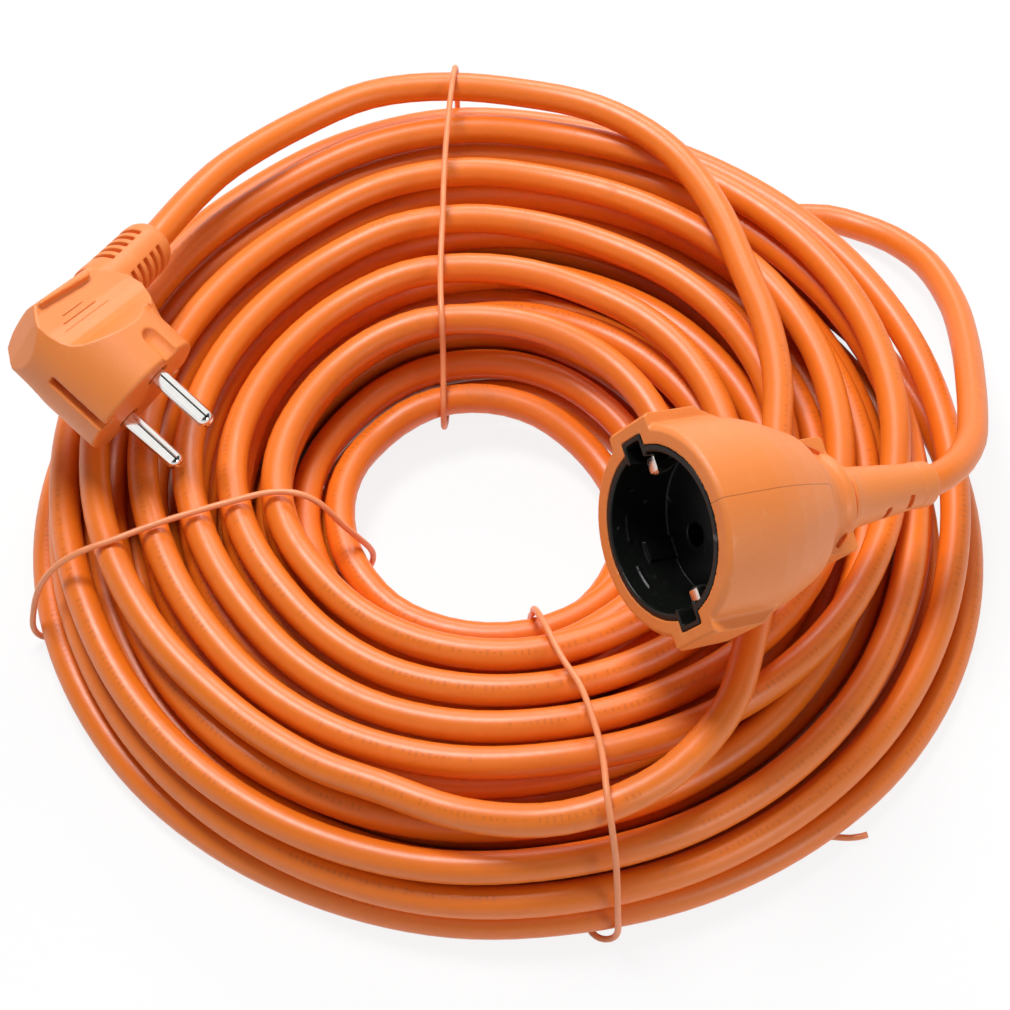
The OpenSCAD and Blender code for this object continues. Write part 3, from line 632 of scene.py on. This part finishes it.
# %% Make the insert
cup = turned("socket_insert_soft", [(0.1, 20), (0, 21.4), (-20, 21.4), (-20, 0), (-17.5, 0),
             (-17.5, 19.7), (-0.3, 19.7)], 128)
for s in (-1, 1):
    rib = block("rib", (-17.6, s * 18.8, -2.6), (-9, s * 20.4, 2.6))
    carve(cup, block("box", (-13.2, -4, s * 18.6), (0.1, 4, s * 24.2)), rib, how="UNION")
    for first in (9, -29):
        ledge = arc(0, 0, 19.3, first, first + 20, 6) + arc(0, 0, 20.6, first + 20, first, 6)
        carve(cup, pushed("ledge", [(-5.4, s * y, z) for y, z in ledge], (0.6, 0, 0)), how="UNION")
    entry = turned("entry", [(-22, 0), (-22, 2.95), (-16, 2.95), (-16, 0)], 48)
    entry.data.transform(Matrix.Translation((0, s * PIN_SIDE, 0)))
    carve(cup, block("hollow", (-12, -2.9, s * 15), (3, 2.9, s * 23)), entry)
rounded(cup, voxel=0.3, passes=2)
seated(cup, socket_seat)
print("insert", len(cup.data.polygons), "faces")

# %% Bend the earth clips
bow = None
for s in (-1, 1):
    strip = [(-20.8, 17.6), (-14, 17.6), (-10.8, 16.7), (-7.8, 14.8), (-6.2, 14.3), (-4.7, 14.4),
             (-4, 15.2), (-4, 18.8), (-4.8, 18.8), (-4.8, 15.6), (-6.2, 15.1), (-7.6, 15.6),
             (-10.4, 17.5), (-13.8, 18.4), (-20.8, 18.4)]
    clip = pushed("clip", [(x, -1.7, s * z) for x, z in strip], (0, 3.4, 0))
    tongue = arc(0, 16, 1.7, 180, 360, 12) + [(1.7, 19), (-1.7, 19)]
    carve(clip, pushed("tongue", [(-22, y, s * z) for y, z in tongue], (20, 0, 0)), how="INTERSECT")
    bow = clip if bow is None else carve(bow, clip, how="UNION")
cross = block("cross", (-20.8, -1.7, -18.4), (-20, 1.7, 18.4))
carve(bow, cross, how="UNION")
bow.name = bow.data.name = "socket_earth_clips"
pick(bow)
edge = bow.modifiers.new("edge", "BEVEL")
edge.width, edge.segments, edge.limit_method = 0.15, 2, "ANGLE"
bpy.ops.object.modifier_apply(modifier=edge.name)
bpy.ops.object.shade_smooth_by_angle(angle=math.radians(35))
seated(bow, socket_seat)
print("earth clips", len(bow.data.polygons), "faces")

# %% [markdown]
# ## Wiring a finish
# A finish is a small program of nodes. Two helpers keep it readable: a socket that
# understands plus, minus, times and divided by, and one method that adds any node with its
# settings and values. Numbers that are the same all over a surface are set on the shader.


# %% Make sockets that do arithmetic
class Wire:
    """An output of a node, which takes part in sums."""

    def __init__(self, tree, socket):
        self.tree, self.socket = tree, socket

    def sum(self, how, a, b=0.0):
        return Finish.add(self.tree, "ShaderNodeMath", {"operation": how}, {0: a, 1: b})[0]

    def __add__(self, other): return self.sum("ADD", self, other)
    def __radd__(self, other): return self.sum("ADD", other, self)
    def __sub__(self, other): return self.sum("SUBTRACT", self, other)
    def __rsub__(self, other): return self.sum("SUBTRACT", other, self)
    def __mul__(self, other): return self.sum("MULTIPLY", self, other)
    def __rmul__(self, other): return self.sum("MULTIPLY", other, self)
    def __truediv__(self, other): return self.sum("DIVIDE", self, other)
    def __rtruediv__(self, other): return self.sum("DIVIDE", other, self)
    def below(self, other): return self.sum("LESS_THAN", self, other)
    def above(self, other): return self.sum("GREATER_THAN", self, other)
    def whole(self): return self.sum("FLOOR", self)
    def part(self): return self.sum("FRACT", self)
    def size(self): return self.sum("ABSOLUTE", self)
    def most(self, other): return self.sum("MAXIMUM", self, other)


class Outputs:
    """The outputs of a node, by number or by name."""

    def __init__(self, tree, node):
        self.tree, self.node = tree, node

    def __getitem__(self, key):
        return Wire(self.tree, self.node.outputs[key])


# %% Make a finish that nodes are added to
class Finish:
    """A material being wired."""

    def __init__(self, name, rough=0.5, metal=0.0, **fixed):
        self.material = bpy.data.materials.new(name)
        self.material.use_nodes = True
        self.tree = self.material.node_tree
        self.shader = self.tree.nodes["Principled BSDF"]
        self.put("Roughness", rough)
        self.put("Metallic", metal)
        for key, value in fixed.items():
            self.put(key.replace("_", " "), value)

    @staticmethod
    def add(tree, kind, settings, values):
        made = tree.nodes.new(kind)
        for key, value in settings.items():
            setattr(made, key, value)
        for key, value in values.items():
            if isinstance(value, Wire):
                tree.links.new(value.socket, made.inputs[key])
            elif value is not None:
                made.inputs[key].default_value = value
        return Outputs(tree, made)

    def node(self, kind, settings=None, values=None):
        return self.add(self.tree, kind, settings or {}, values or {})

    def put(self, key, value):
        if isinstance(value, Wire):
            self.tree.links.new(value.socket, self.shader.inputs[key])
        else:
            self.shader.inputs[key].default_value = value

    def spots(self, scale, detail=2.0, rough=0.5, stretch=None):
        """Smooth noise on the piece's own coordinates, in spots for each metre."""
        where = self.node("ShaderNodeTexCoord")["Object"]
        if stretch:
            where = self.node("ShaderNodeMapping", {}, {"Vector": where, "Scale": stretch})[0]
        return self.node("ShaderNodeTexNoise", {}, {"Vector": where, "Scale": scale,
                         "Detail": detail, "Roughness": rough})[0]

    def blend(self, share, a, b):
        colour = [(*c, 1) if isinstance(c, tuple) and len(c) == 3 else c for c in (a, b)]
        return self.node("ShaderNodeMix", {"data_type": "RGBA"},
                         {0: share, 6: colour[0], 7: colour[1]})[2]

    def range(self, value, low, high):
        """0 below the low value, 1 above the high one, and a ramp between them."""
        return self.node("ShaderNodeMapRange", {}, {0: value, 1: low, 2: high})[0]

    def bump(self, height, depth, strength, over=None):
        made = self.node("ShaderNodeBump", {}, {"Height": height, "Distance": depth,
                         "Strength": strength, "Normal": over})[0]
        self.put("Normal", made)
        return made


# %% [markdown]
# ## The cable's finish
# The sheath is soft orange plastic with a satin skin. Its colour wanders a little from turn
# to turn, handling has left it greyer in places, and short runs of small raised marks follow
# the cable. They are plain ticks of uneven height, drawn by a rule, and spell nothing.

# %% Wire the cable's finish
sheath = Finish("cable_sheath", rough=0.38, Specular_IOR_Level=0.7)
place = sheath.node("ShaderNodeUVMap", {"uv_map": "round_and_along"})["UV"]
split = sheath.node("ShaderNodeSeparateXYZ", {}, {0: place})
around, metres = split[0], split[1]
MARK_GAP = 0.0017
cell = (metres / MARK_GAP).whole()
inside = (metres / MARK_GAP).part()
draw = sheath.node("ShaderNodeTexWhiteNoise", {"noise_dimensions": "1D"}, {"W": cell})
luck = sheath.node("ShaderNodeSeparateColor", {}, {0: draw["Color"]})
drift = sheath.node("ShaderNodeTexNoise", {"noise_dimensions": "1D"},
                    {"W": metres * 1.7, "Scale": 1.0, "Detail": 1.0})[0]
line_at = 0.2 + drift * 0.22
up = (around - line_at) / 0.034
tick = (inside - 0.5).size().below(0.17) * up.size().below(0.25 + luck[0] * 0.7)
runs = sheath.node("ShaderNodeTexNoise", {"noise_dimensions": "1D"},
                   {"W": metres * 9.0, "Scale": 1.0, "Detail": 0.0})[0].above(0.5)
marks = tick * runs * luck[1].above(0.25)
wander = sheath.spots(9.0, 2.0)
mottle = sheath.spots(420.0, 3.0, 0.6)
grime = sheath.range(sheath.spots(58.0, 5.0, 0.65), 0.60, 0.74)
orange = sheath.blend(wander, (0.86, 0.182, 0.006), (0.94, 0.225, 0.010))
orange = sheath.blend(mottle * 0.35, orange, (0.72, 0.120, 0.010))
orange = sheath.blend(grime * 0.22, orange, (0.30, 0.10, 0.03))
sheath.put("Base Color", sheath.blend(marks * 0.30, orange, (0.52, 0.095, 0.012)))
sheath.put("Roughness", 0.34 + mottle * 0.12 + grime * 0.1)
skin = sheath.bump(mottle, 0.00006, 0.5)
sheath.bump(marks, 0.0003, 0.9, skin)
print("cable sheath", len(sheath.tree.nodes), "nodes")

# %% Wire the tie wires' finish
coat = Finish("tie_coating", rough=0.38)
coat_noise = coat.spots(300.0, 3.0)
coat.put("Base Color", coat.blend(coat_noise, (0.92, 0.27, 0.10), (0.96, 0.36, 0.16)))
coat.bump(coat.spots(900.0, 2.0), 0.00005, 0.6)
print("tie coating", len(coat.tree.nodes), "nodes")

# %% [markdown]
# ## The mouldings' finish
# The plug and the socket are moulded in the same orange, but against a blasted steel mould,
# so their skin is matt with a fine grain, and handling has rubbed it a little paler in
# places. The grain is bump from fine noise, and the pale places come from a larger one. A
# fine dark line follows the socket's side, where the halves of its mould met. It is drawn by
# distance from the socket's middle plane, because a groove that fine would need a huge mesh.

# %% Wire the mouldings' finish
moulded = Finish("moulding", rough=0.46, Specular_IOR_Level=0.8)
grain = moulded.spots(2600.0, 2.0, 0.6)
cloud = moulded.spots(70.0, 3.0)
scuff = moulded.range(moulded.spots(160.0, 4.0, 0.7), 0.60, 0.75)
rubber = moulded.blend(cloud, (0.86, 0.225, 0.030), (0.93, 0.275, 0.045))
rubber = moulded.blend(grain * 0.5, rubber, (0.74, 0.175, 0.028))
rubber = moulded.blend(scuff * 0.20, rubber, (0.94, 0.46, 0.22))
moulded.put("Roughness", 0.38 + grain * 0.2)
moulded.bump(grain, 0.00009, 0.7)


# %% Draw the seam of the mould on the socket
def reach(finish, where, origin, way):
    """How far a place lies from the origin along a direction."""
    from_it = finish.node("ShaderNodeVectorMath", {"operation": "SUBTRACT"},
                          {0: where, 1: origin})[0]
    return finish.node("ShaderNodeVectorMath", {"operation": "DOT_PRODUCT"},
                       {0: from_it, 1: way})["Value"]


SEAM_HALF_W = 0.00013
axes = socket_seat.to_3x3().normalized()
centre = socket_seat @ Vector((0, 0, 0))
spot = moulded.node("ShaderNodeTexCoord")["Object"]
high, out_y, back_x = (reach(moulded, spot, centre, axes.col[k]) for k in (2, 1, 0))
on_barrel = out_y.above(0.008) * back_x.above(-0.044) * back_x.below(0.002)
seam = high.size().below(SEAM_HALF_W) * on_barrel
moulded.put("Base Color", moulded.blend(seam * 0.75, rubber, (0.42, 0.085, 0.012)))
print("moulding", len(moulded.tree.nodes), "nodes")

# %% Wire the dark insert's finish
black = Finish("black_insert", rough=0.4, Specular_IOR_Level=0.3)
dust = black.range(black.spots(520.0, 5.0, 0.75), 0.57, 0.75)
scratch = black.range(black.spots(240.0, 2.0, 0.5, stretch=(1.0, 0.08, 1.6)), 0.70, 0.735)
dark = black.blend(dust * 0.30, (0.005, 0.006, 0.005), (0.045, 0.05, 0.045))
black.put("Base Color", black.blend(scratch * 0.5, dark, (0.14, 0.15, 0.14)))
black.put("Roughness", 0.36 + dust * 0.25)
black.bump(dust, 0.00004, 0.5)
print("black insert", len(black.tree.nodes), "nodes")

# %% [markdown]
# ## The metals and the cores
# The pins and the earth strip are nickel-plated brass: bright, with faint smears from the
# last time they slid into a socket. The contact sleeves inside are bare brass, and the
# three cores have their own colours, the earth core in green and yellow bands.


# %% Wire the metals
def metal(name, pale, dull, rough, smear):
    """A bare metal with a thin film that dulls it in places."""
    made = Finish(name, rough=rough, metal=1.0)
    film = made.spots(180.0, 4.0, 0.6)
    lines = made.spots(900.0, 2.0, 0.5, stretch=(0.4, 1.0, 1.0))
    made.put("Base Color", made.blend(film, pale, dull))
    made.put("Roughness", rough + film * smear)
    made.bump(lines, 0.00001, 0.3)
    return made


plated = metal("plated_pin", (0.88, 0.87, 0.84), (0.74, 0.72, 0.69), 0.05, 0.12)
strip_metal = metal("earth_strip", (0.80, 0.76, 0.70), (0.60, 0.55, 0.50), 0.16, 0.2)
brass_metal = metal("contact_brass", (0.72, 0.52, 0.22), (0.52, 0.36, 0.14), 0.2, 0.25)
print("metals", [made.material.name for made in (plated, strip_metal, brass_metal)])


# %% Wire the cores
def core(name, colour, shade):
    """The plain insulation of one core."""
    made = Finish(name, rough=0.4)
    made.put("Base Color", made.blend(made.spots(300.0, 3.0), colour, shade))
    made.bump(made.spots(1500.0, 2.0), 0.00003, 0.5)
    return made


core_finish = {"brown": core("core_brown", (0.13, 0.045, 0.016), (0.09, 0.03, 0.01)),
               "blue": core("core_blue", (0.02, 0.10, 0.46), (0.015, 0.07, 0.34))}
earth_core = Finish("core_earth", rough=0.4)
spot = earth_core.node("ShaderNodeTexCoord")["Object"]
spot = earth_core.node("ShaderNodeSeparateXYZ", {}, {0: spot})
band = ((spot[0] + spot[1]) * 160.0).part().above(0.5)
earth_core.put("Base Color", earth_core.blend(band, (0.70, 0.55, 0.02), (0.03, 0.26, 0.05)))
earth_core.bump(earth_core.spots(1500.0, 2.0), 0.00003, 0.5)
core_finish["earth"] = earth_core
print("cores", list(core_finish))


# %% Put each finish on its pieces
def wear(piece, finish):
    """Gives a piece its finish, and a piece of this script its body as well."""
    piece.data.materials.clear()
    piece.data.materials.append(finish.material)
    if "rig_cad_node" not in piece:
        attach(piece, "root")


wear(cable, sheath)
for tie in ties.values():
    wear(tie, coat)
for piece in (plug, sleeve, tail, barrel):
    wear(piece, moulded)
wear(cup, black)
wear(bow, strip_metal)
for end in ("plug", "socket"):
    for colour in ("brown", "blue", "earth"):
        wear(nodes[f"{end}_core_{colour}"], core_finish[colour])
for pin in pins:
    wear(pin, plated)
# The plug's carrier gets the black finish so that the rings round the pins read dark: painted shade
# standing in for the shade in those recesses.
for name, finish in (("plug_carrier", black), ("socket_contact_cover", black),
                     ("plug_earth_strap", strip_metal), ("socket_contact_live", brass_metal),
                     ("socket_contact_neutral", brass_metal)):
    wear(nodes[name], finish)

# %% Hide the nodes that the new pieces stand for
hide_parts("cable_coil", "plug_lead", "socket_lead")
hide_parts("tie_far")
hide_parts("tie_left")
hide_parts("tie_near")
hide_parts("plug_body")
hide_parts("plug_pin_live")
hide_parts("plug_pin_neutral")
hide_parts("plug_sleeve")
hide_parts("socket_sleeve")
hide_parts("socket_housing")
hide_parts("socket_insert")
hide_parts("socket_earth_bow")

# %% [markdown]
# ## The cable's facts
# It prints the length of the cable.

print("cable", round(cable_length, 2), "m long")

# %% [markdown]
# ## The floor and the light
# The object lies on plain white paper. The paper keeps the object's soft shadow, and to the
# camera it glows a little, so that it reads as white. In a ring under the coil the glow is
# masked off, which paints shade there, so the gaps stay dark. One lamp hangs above, a weaker
# one stands behind and draws bright edges, and another fills from the side. Metal needs
# something to mirror: shiny surfaces see a bright horizon, a narrow bright band that crosses
# the sky over the pins, and a dark flag in it.

# %% Lay the paper
pick()
bpy.ops.mesh.primitive_plane_add(size=6, location=(0, 0, 0))
paper = bpy.context.object
paper.name = "paper"
sheet = Finish("paper", rough=0.9)
fibre = sheet.spots(40.0, 3.0)
sheet.put("Base Color", sheet.blend(fibre, (0.90, 0.90, 0.90), (0.93, 0.93, 0.93)))
seen = sheet.node("ShaderNodeLightPath")
COIL_MIDDLE, RING_R, RING_HALF_W = (-0.002, -0.009, 0), 0.088, 0.035
place = sheet.node("ShaderNodeTexCoord")["Object"]
from_middle = sheet.node("ShaderNodeVectorMath", {"operation": "DISTANCE"},
                         {0: place, 1: COIL_MIDDLE})["Value"]
# The glow is masked off in a ring under the coil: painted shade, so the gaps between the strands
# stay dark.
painted_shade_ring = (from_middle - RING_R).size().below(RING_HALF_W)
shown = seen["Is Camera Ray"].most(seen["Is Transmission Ray"]).most(seen["Is Glossy Ray"])
shown = shown * (1 - painted_shade_ring)
glow = sheet.node("ShaderNodeEmission", {}, {"Color": (1, 1, 1, 1), "Strength": 1.0})[0]
both = sheet.node("ShaderNodeMixShader", {}, {0: shown * 0.86, 1: Wire(sheet.tree,
                  sheet.shader.outputs[0]), 2: glow})[0]
sheet.tree.links.new(both.socket, sheet.tree.nodes["Material Output"].inputs["Surface"])
paper.data.materials.append(sheet.material)
print("paper", [round(side, 2) for side in paper.dimensions])

# %% Light the room
ROOM_LIGHT = 0.24       # strength of the even light that falls on the object
PIN_SKY = Vector((0.376, -0.146, 0.91))     # the part of the sky that the pins mirror
room = bpy.data.worlds.new("room")
bpy.context.scene.world = room
room.use_nodes = True
tree = room.node_tree
back = tree.nodes["Background"]
rays = Finish.add(tree, "ShaderNodeLightPath", {}, {})
way = Finish.add(tree, "ShaderNodeTexCoord", {}, {})["Generated"]
height = Finish.add(tree, "ShaderNodeSeparateXYZ", {}, {0: way})[2]
overhead = Finish.add(tree, "ShaderNodeMapRange", {},
                      {0: height, 1: 0.15, 2: 0.5, 3: 0.9, 4: 0.04})[0]
along_pins = plug_seat.to_3x3().normalized() @ Vector((1, 0, 0))
across_pins = along_pins.cross(PIN_SKY).normalized()
ahead, aside = (Finish.add(tree, "ShaderNodeVectorMath", {"operation": "DOT_PRODUCT"},
                           {0: way, 1: axis})["Value"] for axis in (along_pins, across_pins))
strip_light = (ahead + 0.12).size().below(0.12) * height.above(0.0)
flag = aside.size().below(0.2) * height.above(0.3)
back.inputs["Color"].default_value = (1, 1, 1, 1)
open_sky = rays["Is Camera Ray"].most(rays["Is Transmission Ray"])
mirrored = overhead.most(strip_light * 1.1) * (1 - flag * 0.95) - ROOM_LIGHT
mirrored = rays["Is Glossy Ray"] * mirrored
strength = ROOM_LIGHT + open_sky * (1 - ROOM_LIGHT) + mirrored
tree.links.new(strength.socket, back.inputs["Strength"])
print("room", len(tree.nodes), "nodes")


# %% Hang the three lamps
def lamp(name, place, size, power):
    """A round lamp that is aimed at the middle of the floor below the coil."""
    light = bpy.data.lights.new(name, "AREA")
    light.shape, light.size, light.energy = "DISK", size, power
    stand = bpy.data.objects.new(name, light)
    stand.location = place
    stand.rotation_euler = (-Vector(place)).to_track_quat("-Z", "Y").to_euler()
    bpy.context.scene.collection.objects.link(stand)


lamp("lamp_above", (-0.2, 0.3, 1.0), 0.4, 8.5)
lamp("lamp_behind", (0.15, 1.0, 0.7), 0.4, 4.5)
lamp("lamp_side", (0.8, -0.7, 0.6), 0.5, 3.0)
print("lamps", sorted(light.name for light in bpy.data.lights))

bpy.context.scene.view_settings.view_transform = "Standard"
